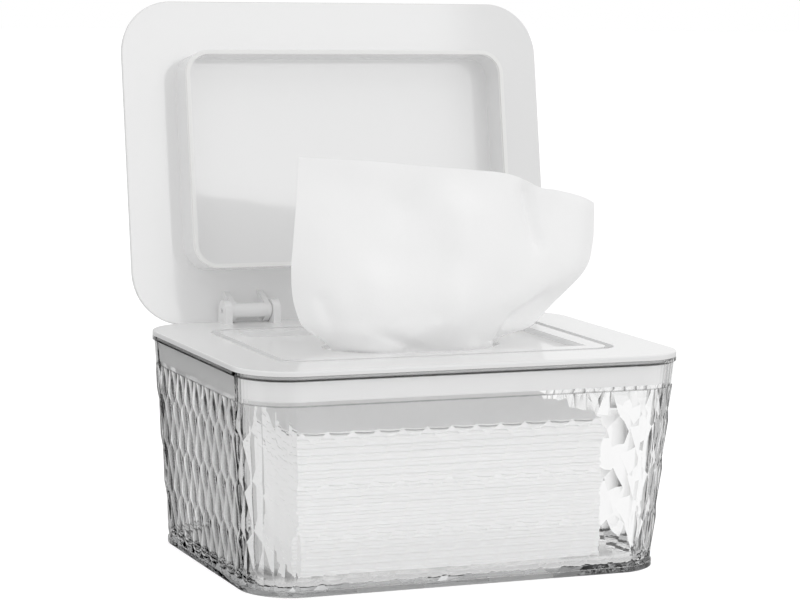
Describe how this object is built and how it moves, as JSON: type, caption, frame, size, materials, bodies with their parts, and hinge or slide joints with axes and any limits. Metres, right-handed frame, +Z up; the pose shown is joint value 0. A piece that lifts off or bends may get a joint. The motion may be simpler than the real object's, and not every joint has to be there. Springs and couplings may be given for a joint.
{
  "type": "countertop wipes dispenser",
  "caption": "Clear diamond-faceted box with a plug-in frame, a flip cover on pinned hinges, folded wipes and one pulled up.",
  "frame": {"origin": "middle of the box's flat foot, on the surface it stands on", "axes": "+X along the box's length, -Y towards the front, where the cover opens, +Z up"},
  "size_m": [0.1984, 0.1709, 0.23],
  "materials": {
    "clear_plastic": "clear polished plastic with moulded diamond facets",
    "white_plastic": "glossy moulded white",
    "steel": "plain steel pin",
    "silicone": "soft white silicone",
    "wipe_fabric": "soft white non-woven"
  },
  "bodies": {
    "box": {"clear_box": "clear_plastic", "wipe_01": "wipe_fabric", "wipe_02": "wipe_fabric", "wipe_03": "wipe_fabric", "wipe_04": "wipe_fabric", "wipe_05": "wipe_fabric", "wipe_06": "wipe_fabric", "wipe_07": "wipe_fabric", "wipe_08": "wipe_fabric", "wipe_09": "wipe_fabric", "wipe_10": "wipe_fabric", "wipe_11": "wipe_fabric", "wipe_12": "wipe_fabric", "wipe_13": "wipe_fabric", "wipe_14": "wipe_fabric", "wipe_15": "wipe_fabric", "wipe_16": "wipe_fabric", "wipe_17": "wipe_fabric", "wipe_18": "wipe_fabric", "wipe_19": "wipe_fabric", "wipe_20": "wipe_fabric"},
    "frame": {"top_frame": "white_plastic", "hinge_pin_left": "steel", "hinge_pin_right": "steel", "pulled_wipe": "wipe_fabric"},
    "cover": {"cover": "white_plastic", "cover_seal": "silicone"}
  },
  "joints": [
    {"name": "frame_lift", "type": "slide", "parent": "box", "child": "frame", "axis": [0, 0, 1], "range_m": [0, 0.05]},
    {"name": "cover_hinge", "type": "hinge", "parent": "frame", "child": "cover", "pos_m": [0, 0.066, 0.097], "axis": [1, 0, 0], "range_deg": [0, 100.49], "deforming": ["pulled_wipe"]}
  ]
}
